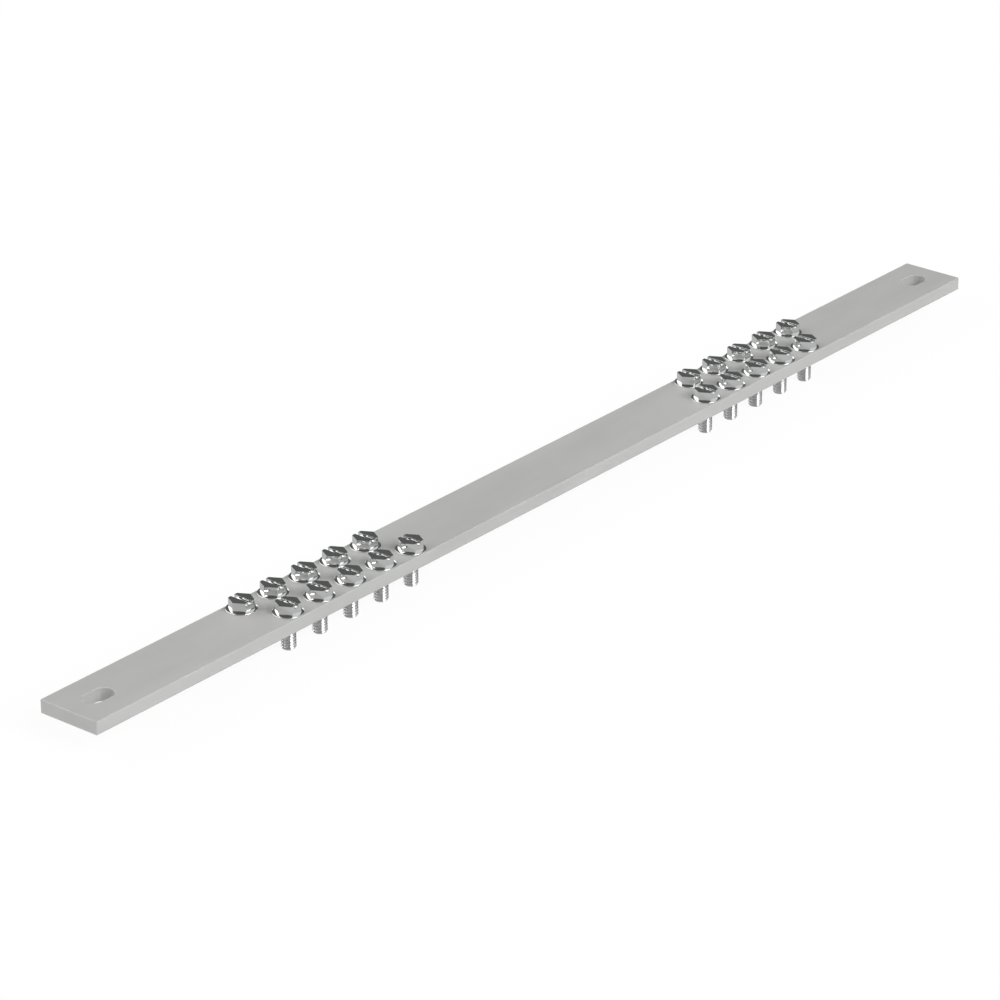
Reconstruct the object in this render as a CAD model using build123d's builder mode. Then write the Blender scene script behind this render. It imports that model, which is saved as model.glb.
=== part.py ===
"""Earth terminal bar: a flat bar with two banks of clamp screws and a fixing slot near each end.

Millimetres. X runs along the bar, Y across it and Z up, out of the screw heads.
The origin is the middle of the bar's underside, the face that lies on its support.
"""

import os
from math import cos, pi, radians, tan

from build123d import *

# Flat bar
bar_length = 590.0
bar_width = 30.0
bar_thickness = 6.0
bar_corner_radius = 0.4
bar_end_bevel = 0.25

# Fixing slots, one near each end, running along the bar
slot_end_distance = 16.5
slot_length = 14.5
slot_width = 9.0
slot_bevel = 0.25

# Two banks of terminals, mirrored about the middle of the bar, each of two staggered rows
screws_per_row = 5
screw_pitch = 19.0
row_spacing = 16.5
bank_distance = 144.7

# Terminal screw: hexagon head with a flange, slotted across the bar
thread_diameter = 6.35
screw_length = 16.0
point_diameter = 4.9
point_angle = 45.0
neck_radius = 0.3
flange_diameter = 13.2
flange_rim = 0.45
flange_bevel = 0.15
flange_slope = 3.0
across_flats = 9.5
head_height = 4.7
head_crown_trim = 0.3
head_crown_angle = 30.0
driver_slot_width = 2.0
driver_slot_depth = 1.4

# Tapped holes in the bar
thread_clearance = 0.05
neck_clearance = 0.2

slot_spacing = bar_length - 2 * slot_end_distance
half_pitch = screw_pitch / 2
thread_radius = thread_diameter / 2
flange_radius = flange_diameter / 2
flat_radius = across_flats / 2
corner_radius = flat_radius / cos(pi / 6)
bar_top = bar_thickness


def slope_rise(run, angle):
    """Height gained over a run by a face that stands at an angle to the level."""
    return run * tan(radians(angle))


def terminal_places():
    """Name and axis position of every terminal, counted outwards from the middle of the bar."""
    places = {}
    for bank, side in (("left", -1), ("right", 1)):
        for row, across in (("rear", 1), ("front", -1)):
            row_middle = bank_distance + across * half_pitch / 2
            for index in range(screws_per_row):
                along = row_middle + (index - (screws_per_row - 1) / 2) * screw_pitch
                places[f"{bank}_{row}_screw_{index + 1}"] = (side * along, across * row_spacing / 2)
    return places


def terminal_screw(x, y):
    """One screw seated on the bar's top face, with its axis at x, y."""
    seat = Plane(origin=(x, y, bar_top))
    section = Plane(origin=seat.origin, x_dir=(1, 0, 0), z_dir=(0, -1, 0))
    axis = Axis(seat.origin, seat.z_dir)
    point_radius = point_diameter / 2
    point_height = slope_rise(thread_radius - point_radius, point_angle)
    bearing_radius = flange_radius - flange_bevel
    flange_top = flange_rim + slope_rise(flange_radius - flat_radius, flange_slope)
    crown_radius = corner_radius - head_crown_trim
    crown_drop = slope_rise(flange_radius - crown_radius, head_crown_angle)

    with BuildPart() as screw:
        # Shank with its chamfered point, and the flange that bears on the bar
        with BuildSketch(section):
            with BuildLine():
                shank = Polyline(
                    (0, flange_top),
                    (0, -screw_length),
                    (point_radius, -screw_length),
                    (thread_radius, point_height - screw_length),
                    (thread_radius, -neck_radius),
                )
                neck = RadiusArc(shank @ 1, (thread_radius + neck_radius, 0), -neck_radius)
                Polyline(
                    neck @ 1,
                    (bearing_radius, 0),
                    (flange_radius, flange_bevel),
                    (flange_radius, flange_rim),
                    (flat_radius, flange_top),
                    (0, flange_top),
                )
            make_face()
        revolve(axis=axis)

        # Hexagon with two flats along the bar
        with BuildSketch(seat.offset(flange_rim)):
            RegularPolygon(radius=flat_radius, side_count=6, major_radius=False)
        extrude(amount=head_height - flange_rim)

        # Crown: the corners of the hexagon are turned down to a circle
        with BuildSketch(section):
            with BuildLine():
                Polyline(
                    (crown_radius, head_height),
                    (flange_radius, head_height - crown_drop),
                    (flange_radius, head_height),
                    close=True,
                )
            make_face()
        revolve(axis=axis, mode=Mode.SUBTRACT)

        # Driver slot across the bar
        with BuildSketch(seat.offset(head_height)):
            Rectangle(driver_slot_width, flange_diameter)
        extrude(amount=-driver_slot_depth, mode=Mode.SUBTRACT)
    return screw


places = terminal_places()

with BuildPart() as bar:
    with BuildSketch(Plane.XY):
        Rectangle(bar_length, bar_width)
    extrude(amount=bar_thickness)
    fillet(bar.edges().filter_by(Axis.X), bar_corner_radius)
    end_faces = bar.faces().filter_by(Axis.X)
    chamfer(end_faces.edges(), bar_end_bevel)

    # Fixing slots with deburred mouths
    with BuildSketch(Plane.XY):
        with GridLocations(slot_spacing, 0, 2, 1):
            SlotOverall(slot_length, slot_width)
    extrude(amount=bar_thickness, mode=Mode.SUBTRACT)
    slot_mouths = bar.edges(Select.LAST).filter_by(Plane.XY)
    chamfer(slot_mouths, slot_bevel)

    # Tapped holes, with mouths wide enough for the screw's neck
    with Locations(*[(x, y, bar_top) for x, y in places.values()]):
        Hole(radius=thread_radius + thread_clearance)
    hole_mouths = bar.edges(Select.LAST).filter_by(Plane.XY)
    chamfer(hole_mouths, neck_radius + neck_clearance)

os.makedirs("parts", exist_ok=True)
bar.part.label = "bar"
export_step(bar.part, "parts/bar.step")
for name, (x, y) in places.items():
    screw = terminal_screw(x, y)
    screw.part.label = name
    export_step(screw.part, f"parts/{name}.step")
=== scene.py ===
"""Earth terminal bar: a matt tinned flat bar with bright plated, slotted hexagon washer head screws.

Metres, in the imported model's frame: X along the bar, Y across it, Z up out of the screw heads.
Directions are an azimuth from +X towards +Y and an elevation above the floor, in degrees.
"""

import math

import bmesh
import bpy
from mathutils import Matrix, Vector


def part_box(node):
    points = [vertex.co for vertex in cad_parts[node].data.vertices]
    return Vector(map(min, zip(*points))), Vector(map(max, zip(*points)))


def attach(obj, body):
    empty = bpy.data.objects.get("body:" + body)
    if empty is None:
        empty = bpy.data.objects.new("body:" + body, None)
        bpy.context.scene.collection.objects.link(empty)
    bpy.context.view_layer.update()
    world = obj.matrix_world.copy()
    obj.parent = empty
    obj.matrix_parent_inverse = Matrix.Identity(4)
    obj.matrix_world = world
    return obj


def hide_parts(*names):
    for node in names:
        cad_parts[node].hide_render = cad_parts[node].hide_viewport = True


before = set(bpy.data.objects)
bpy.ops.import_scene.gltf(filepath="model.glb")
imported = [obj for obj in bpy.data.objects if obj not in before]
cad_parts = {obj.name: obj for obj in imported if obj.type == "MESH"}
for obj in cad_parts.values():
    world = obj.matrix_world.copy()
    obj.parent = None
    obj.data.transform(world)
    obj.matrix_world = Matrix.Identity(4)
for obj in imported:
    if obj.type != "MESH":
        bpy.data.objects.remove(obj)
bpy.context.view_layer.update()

MM = 0.001
FULL_TURN = 2 * math.pi

# Screw, as in the part's source, with heights from its seat on the bar
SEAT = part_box("bar")[1].z
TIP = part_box("left_front_screw_1")[0].z - SEAT
HEAD_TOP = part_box("left_front_screw_1")[1].z - SEAT
WASHER_RADIUS = 6.6 * MM
WASHER_RIM = 0.45 * MM
WASHER_RISE = 0.1 * MM
WASHER_BEVEL = 0.15 * MM
WASHER_CORE_RADIUS = 2.85 * MM
WASHER_COLUMNS = 96
FLAT_RADIUS = 4.75 * MM
HEAD_SIDES = 6
DRIVER_SLOT_WIDTH = 2.0 * MM
DRIVER_SLOT_DEPTH = 1.4 * MM

# Thread, quarter inch with twenty turns to the inch
THREAD_RADIUS = 3.175 * MM
THREAD_PITCH = 1.27 * MM
THREAD_DEPTH = 0.6 * MM
POINT_RADIUS = 2.45 * MM
RUNOUT_TOP = -5.0 * MM
THREAD_ROWS_PER_TURN = 16
THREAD_COLUMNS = 48

# Rounding and shading of edges
EDGE_BREAK = 0.2 * MM
EDGE_BREAK_STEPS = 2
EDGE_BREAK_PROFILE = 0.6
FLAT_ANGLE = math.radians(0.5)
CORNER_ANGLE = math.radians(25)
CREASE_ANGLE = math.radians(32)
WELD_DISTANCE = 0.001 * MM

# Matt tin. Noise is in cells to the metre, for the grain and cloud along, across and up
TIN_DARK = (0.415, 0.415, 0.405)
TIN_LIGHT = (0.455, 0.455, 0.443)
TIN_METALLIC = 0.1
TIN_ROUGHNESS = 0.5
TIN_ROUGHNESS_SPREAD = 0.12
TIN_RELIEF = 0.06 * MM
TIN_RELIEF_STRENGTH = 0.12
TIN_GRAIN = (45.0, 2600.0, 2600.0)
TIN_CLOUD = (18.0, 60.0, 60.0)
TIN_SPECK = 1900.0
CLOUD_IN_SHADE = 0.6
GRAIN_IN_SHADE = 0.25
SPECK_IN_SHADE = 0.15
GRAIN_IN_RELIEF = 0.6
SPECK_IN_RELIEF = 0.4

# Bright zinc, with its noise in cells to the metre
ZINC_DARK = (0.76, 0.77, 0.77)
ZINC_LIGHT = (0.82, 0.83, 0.825)
ZINC_ROUGHNESS = 0.06
ZINC_ROUGHNESS_SPREAD = 0.1
ZINC_RELIEF = 0.04 * MM
ZINC_RELIEF_STRENGTH = 0.06
ZINC_HAZE = 420.0
ZINC_SCUFF = 2400.0

# White sheet, a hair below the shank ends
FLOOR_SIZE = 8.0
FLOOR_GAP = 0.05 * MM
FLOOR_COLOUR = (0.9, 0.9, 0.9, 1)
FLOOR_SEEN = (1.0, 1.0, 1.0)
FLOOR_MIRRORED = (0.45, 0.45, 0.45)
FLOOR_SEEN_GLOW = 0.94
FLOOR_MIRRORED_GLOW = 0.8

# Light levels of the room and its panels
ROOM_LEVEL = 0.11
LEFT_LEVEL = 2.0
FRONT_LEVEL = 7.3
RIGHT_LEVEL = 0.75
OVERHEAD_LEVEL = 0.15

# Camera, fitted to the photograph's edges, with the lens and sensor in millimetres
LENS = 155.32
SENSOR = 36.0
CAMERA_AZIMUTH = 219.126
CAMERA_ELEVATION = 24.591
CAMERA_DISTANCE = 1.8253
CAMERA_TARGET = Vector((-40.78 * MM, -6.07 * MM, SEAT))


class Wire:
    """One socket of a node tree. Operators add Math nodes, and node() adds any other kind."""

    def __init__(self, tree, socket=None):
        self.tree = tree
        self.socket = socket

    def node(self, kind, settings=None, inputs=None, output=0):
        """A new node with these settings and socket values or links, as the wire of one output."""
        made = self.tree.nodes.new(kind)
        for key, value in (settings or {}).items():
            setattr(made, key, value)
        for key, value in (inputs or {}).items():
            if isinstance(value, Wire):
                self.tree.links.new(value.socket, made.inputs[key])
            else:
                made.inputs[key].default_value = value
        return Wire(self.tree, made.outputs[output]) if len(made.outputs) else None

    def maths(self, operation, first, second):
        return self.node("ShaderNodeMath", {"operation": operation}, {0: first, 1: second})

    def __add__(self, other):
        return self.maths("ADD", self, other)

    def __radd__(self, other):
        return self.maths("ADD", other, self)

    def __mul__(self, other):
        return self.maths("MULTIPLY", self, other)

    def __rmul__(self, other):
        return self.maths("MULTIPLY", other, self)

    def either(self, other):
        """The larger of two values."""
        return self.maths("MAXIMUM", self, other)

    def smooth(self, low, high):
        """0 below low, 1 above high, with a smooth step between."""
        return self.node(
            "ShaderNodeMapRange",
            {"interpolation_type": "SMOOTHSTEP"},
            {"Value": self, "From Min": low, "From Max": high},
        )

    def tint(self, low, high):
        """Colour that runs from low to high as this value goes from 0 to 1."""
        # Sockets 6 and 7 and output 2 are the colours among the Mix node's sockets
        return self.node(
            "ShaderNodeMix", {"data_type": "RGBA"}, {0: self, 6: (*low, 1), 7: (*high, 1)}, output=2
        )

    def stretched(self, scale):
        return self.node("ShaderNodeVectorMath", {"operation": "MULTIPLY"}, {0: self, 1: scale})

    def facing(self, middle):
        """Cosine of the angle between this unit vector and another."""
        return self.node(
            "ShaderNodeVectorMath",
            {"operation": "DOT_PRODUCT"},
            {0: self, 1: middle},
            output="Value",
        )

    def noise(self, scale, detail, roughness):
        return self.node(
            "ShaderNodeTexNoise",
            None,
            {"Vector": self, "Scale": scale, "Detail": detail, "Roughness": roughness},
        )

    def bump(self, strength, distance):
        """Surface normal from this height."""
        return self.node(
            "ShaderNodeBump", None, {"Strength": strength, "Distance": distance, "Height": self}
        )


def blank_tree(owner):
    """The emptied node tree of a material or world."""
    owner.use_nodes = True
    owner.node_tree.nodes.clear()
    return Wire(owner.node_tree)


def surface(tree, inputs):
    """Principled surface with these inputs, as the tree's output."""
    shader = tree.node("ShaderNodeBsdfPrincipled", None, inputs)
    tree.node("ShaderNodeOutputMaterial", None, {"Surface": shader})


def matt_tin():
    """Matt tin plating: faint drawn grain along the bar and a slight cloudiness."""
    material = bpy.data.materials.new("matt_tin")
    tree = blank_tree(material)
    point = tree.node("ShaderNodeTexCoord", output="Object")
    grain = point.stretched(TIN_GRAIN).noise(scale=1.0, detail=3.0, roughness=0.6)
    cloud = point.stretched(TIN_CLOUD).noise(scale=1.0, detail=3.0, roughness=0.55)
    speck = point.noise(scale=TIN_SPECK, detail=2.0, roughness=0.6)
    shade = cloud * CLOUD_IN_SHADE + grain * GRAIN_IN_SHADE + speck * SPECK_IN_SHADE
    height = grain * GRAIN_IN_RELIEF + speck * SPECK_IN_RELIEF
    surface(
        tree,
        {
            "Base Color": shade.smooth(low=0.3, high=0.7).tint(TIN_DARK, TIN_LIGHT),
            "Metallic": TIN_METALLIC,
            "Roughness": TIN_ROUGHNESS + cloud * TIN_ROUGHNESS_SPREAD,
            "Normal": height.bump(TIN_RELIEF_STRENGTH, TIN_RELIEF),
        },
    )
    return material


def bright_zinc():
    """Bright zinc plating over rolled steel: near a mirror, with tumbling haze."""
    material = bpy.data.materials.new("bright_zinc")
    tree = blank_tree(material)
    point = tree.node("ShaderNodeTexCoord", output="Object")
    haze = point.noise(scale=ZINC_HAZE, detail=3.0, roughness=0.6)
    scuff = point.noise(scale=ZINC_SCUFF, detail=2.0, roughness=0.6)
    surface(
        tree,
        {
            "Base Color": haze.tint(ZINC_DARK, ZINC_LIGHT),
            "Metallic": 1.0,
            "Roughness": ZINC_ROUGHNESS + haze.smooth(low=0.4, high=0.8) * ZINC_ROUGHNESS_SPREAD,
            "Normal": scuff.bump(ZINC_RELIEF_STRENGTH, ZINC_RELIEF),
        },
    )
    return material


def object_from(name, made):
    """A mesh object from a bmesh, with its faces turned outwards."""
    bmesh.ops.recalc_face_normals(made, faces=made.faces)
    mesh = bpy.data.meshes.new(name)
    made.to_mesh(mesh)
    made.free()
    item = bpy.data.objects.new(name, mesh)
    bpy.context.scene.collection.objects.link(item)
    return item


def prism(name, outline, low, high):
    """Straight-sided solid over an outline, from one height to another."""
    made = bmesh.new()
    rings = [[made.verts.new((x, y, z)) for x, y in outline] for z in (low, high)]
    made.faces.new(rings[0][::-1])
    made.faces.new(rings[1])
    for i in range(len(outline)):
        j = (i + 1) % len(outline)
        made.faces.new((rings[0][i], rings[0][j], rings[1][j], rings[1][i]))
    return object_from(name, made)


def turned(name, heights, radius_at, columns):
    """Solid turned about Z: a ring at each height, whose radius may change round the axis."""
    made = bmesh.new()
    rings = []
    for row, height in enumerate(heights):
        ring = []
        for i in range(columns):
            turn = FULL_TURN * i / columns
            radius = radius_at(row, height, turn)
            ring.append(made.verts.new((radius * math.cos(turn), radius * math.sin(turn), height)))
        rings.append(ring)
    made.faces.new(rings[0])
    made.faces.new(rings[-1])
    for below, above in zip(rings, rings[1:]):
        for i in range(columns):
            j = (i + 1) % columns
            made.faces.new((below[i], below[j], above[j], above[i]))
    return object_from(name, made)


def combine(base, tool, operation):
    """Join base with tool or cut it by tool, which is used up."""
    step = base.modifiers.new("combine", "BOOLEAN")
    step.operation = operation
    step.solver = "EXACT"
    step.object = tool
    bpy.context.view_layer.update()
    ready = base.evaluated_get(bpy.context.evaluated_depsgraph_get())
    mesh = bpy.data.meshes.new_from_object(ready)
    base.modifiers.clear()
    base.data = mesh
    bpy.data.objects.remove(tool)


def break_edges(mesh):
    """Round the outer edges a little, as rolling and plating leave them."""
    made = bmesh.new()
    made.from_mesh(mesh)
    bmesh.ops.dissolve_limit(made, angle_limit=FLAT_ANGLE, verts=made.verts, edges=made.edges)
    corners = [
        edge
        for edge in made.edges
        if edge.is_manifold and edge.is_convex and edge.calc_face_angle() > CORNER_ANGLE
    ]
    bmesh.ops.bevel(
        made,
        geom=corners,
        offset=EDGE_BREAK,
        segments=EDGE_BREAK_STEPS,
        profile=EDGE_BREAK_PROFILE,
        affect="EDGES",
        clamp_overlap=True,
    )
    made.to_mesh(mesh)
    made.free()


def weld(mesh):
    """Points that the joins left in one place become one point."""
    made = bmesh.new()
    made.from_mesh(mesh)
    bmesh.ops.remove_doubles(made, verts=made.verts, dist=WELD_DISTANCE)
    made.to_mesh(mesh)
    made.free()


def hexagon():
    """Slotted hexagon of the head, with two flats along the bar and the slot across it."""
    reach = FLAT_RADIUS / math.cos(math.pi / HEAD_SIDES)
    turns = [FULL_TURN * i / HEAD_SIDES for i in range(HEAD_SIDES)]
    outline = [(reach * math.cos(turn), reach * math.sin(turn)) for turn in turns]
    head = prism("head", outline, WASHER_RIM / 2, HEAD_TOP)
    side, span = DRIVER_SLOT_WIDTH / 2, WASHER_RADIUS
    slot = prism(
        "driver_slot",
        [(-side, -span), (side, -span), (side, span), (-side, span)],
        HEAD_TOP - DRIVER_SLOT_DEPTH,
        HEAD_TOP + DRIVER_SLOT_DEPTH,
    )
    combine(head, slot, "DIFFERENCE")
    break_edges(head.data)
    return head


def washer():
    """Washer with a rounded rim and a top that rises slightly towards the hexagon."""
    half, quarter = WASHER_BEVEL / 2, WASHER_BEVEL / 4
    rows = [
        (WASHER_RADIUS - WASHER_BEVEL, 0.0),
        (WASHER_RADIUS - half, quarter),
        (WASHER_RADIUS - quarter, half),
        (WASHER_RADIUS, WASHER_BEVEL),
        (WASHER_RADIUS, WASHER_RIM - WASHER_BEVEL),
        (WASHER_RADIUS - quarter, WASHER_RIM - half),
        (WASHER_RADIUS - half, WASHER_RIM - quarter),
        (WASHER_RADIUS - WASHER_BEVEL, WASHER_RIM),
        (WASHER_CORE_RADIUS, WASHER_RIM + WASHER_RISE),
    ]
    heights = [height for _, height in rows]
    return turned("washer", heights, lambda row, height, turn: rows[row][0], WASHER_COLUMNS)


def threaded_shank():
    """Rolled thread from the point to a runout inside the bar, then a plain neck into the head."""

    def radius_at(row, height, turn):
        phase = (height / THREAD_PITCH - turn / FULL_TURN) % 1.0
        cut = (1 + math.cos(FULL_TURN * phase)) / 2
        fade = min(max((RUNOUT_TOP - height) / THREAD_PITCH, 0.0), 1.0)
        point = POINT_RADIUS + height - TIP
        return min(THREAD_RADIUS - THREAD_DEPTH * cut * fade, point)

    rows = math.ceil((RUNOUT_TOP - TIP) / THREAD_PITCH * THREAD_ROWS_PER_TURN)
    heights = [TIP + (RUNOUT_TOP - TIP) * row / rows for row in range(rows + 1)]
    return turned("shank", [*heights, WASHER_RIM / 2], radius_at, THREAD_COLUMNS)


def screw_mesh():
    """One closed mesh of the head, washer and shank, with its seat at the origin."""
    head = hexagon()
    combine(head, washer(), "UNION")
    combine(head, threaded_shank(), "UNION")
    mesh = head.data
    bpy.data.objects.remove(head)
    weld(mesh)
    mesh.shade_smooth()
    mesh.set_sharp_from_angle(angle=CREASE_ANGLE)
    return mesh


def dress_bar():
    """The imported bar, in matt tin."""
    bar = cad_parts["bar"]
    bar.data.materials.clear()
    bar.data.materials.append(matt_tin())


def place_screws():
    """A threaded screw in place of every plain one."""
    shape = screw_mesh()
    shape.materials.clear()
    shape.materials.append(bright_zinc())
    for name in sorted(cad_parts):
        if name == "bar":
            continue
        low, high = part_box(name)
        screw = bpy.data.objects.new(f"threaded_{name}", shape.copy())
        screw.location = ((low.x + high.x) / 2, (low.y + high.y) / 2, SEAT)
        bpy.context.scene.collection.objects.link(screw)
        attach(screw, "root")
        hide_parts(name)


def white_floor():
    """White sheet under the shank ends: white to the camera, grey in the screws, with a soft shadow."""
    made = bmesh.new()
    bmesh.ops.create_grid(made, x_segments=1, y_segments=1, size=FLOOR_SIZE)
    floor = object_from("floor", made)
    floor.location.z = SEAT + TIP - FLOOR_GAP
    material = bpy.data.materials.new("white_sheet")
    tree = blank_tree(material)
    seen = tree.node("ShaderNodeLightPath", output="Is Camera Ray")
    mirrored = tree.node("ShaderNodeLightPath", output="Is Glossy Ray")
    through = tree.node("ShaderNodeLightPath", output="Is Transmission Ray")
    share = (seen * FLOOR_SEEN_GLOW).either(mirrored.either(through) * FLOOR_MIRRORED_GLOW)
    lit = tree.node("ShaderNodeBsdfDiffuse", None, {"Color": FLOOR_COLOUR})
    shown = seen.tint(FLOOR_MIRRORED, FLOOR_SEEN)
    glow = tree.node("ShaderNodeEmission", None, {"Color": shown, "Strength": 1.0})
    both = tree.node("ShaderNodeMixShader", None, {0: share, 1: lit, 2: glow})
    tree.node("ShaderNodeOutputMaterial", None, {"Surface": both})
    floor.data.materials.append(material)


def direction(azimuth, elevation):
    """Unit vector towards an azimuth and elevation."""
    a, e = math.radians(azimuth), math.radians(elevation)
    return (math.cos(a) * math.cos(e), math.sin(a) * math.cos(e), math.sin(e))


def studio_light():
    """Dim room with soft panels behind at the left, in front, at the right and, faintly, overhead."""
    world = bpy.data.worlds.new("studio")
    bpy.context.scene.world = world
    tree = blank_tree(world)
    ray = tree.node("ShaderNodeTexCoord", output="Generated")

    def panel(azimuth, elevation, inner, outer):
        """1 within the inner angle of the panel's middle, fading to 0 at the outer one."""
        nearness = ray.facing(direction(azimuth, elevation))
        return nearness.smooth(math.cos(math.radians(outer)), math.cos(math.radians(inner)))

    behind = panel(azimuth=95, elevation=30, inner=20, outer=32)
    left = behind.either(panel(azimuth=143, elevation=24, inner=26, outer=40))
    front = panel(azimuth=270, elevation=34, inner=13, outer=24)
    right = panel(azimuth=318, elevation=34, inner=26, outer=40)
    overhead = panel(azimuth=0, elevation=90, inner=24, outer=38)
    sides = ROOM_LEVEL + left * LEFT_LEVEL + front * FRONT_LEVEL + right * RIGHT_LEVEL
    level = sides + overhead * OVERHEAD_LEVEL
    shade = tree.node("ShaderNodeBackground", None, {"Color": (1, 1, 1, 1), "Strength": level})
    tree.node("ShaderNodeOutputWorld", None, {"Surface": shade})


def camera():
    """Camera at the photograph's view of the bar."""
    back = Vector(direction(CAMERA_AZIMUTH, CAMERA_ELEVATION))
    item = bpy.data.objects.new("camera", bpy.data.cameras.new("camera"))
    item.data.sensor_width = SENSOR
    item.data.lens = LENS
    item.location = CAMERA_TARGET + back * CAMERA_DISTANCE
    item.rotation_euler = back.to_track_quat("Z", "Y").to_euler()
    bpy.context.scene.collection.objects.link(item)
    bpy.context.scene.camera = item


dress_bar()
place_screws()
white_floor()
studio_light()
camera()
bpy.context.scene.view_settings.view_transform = "Standard"
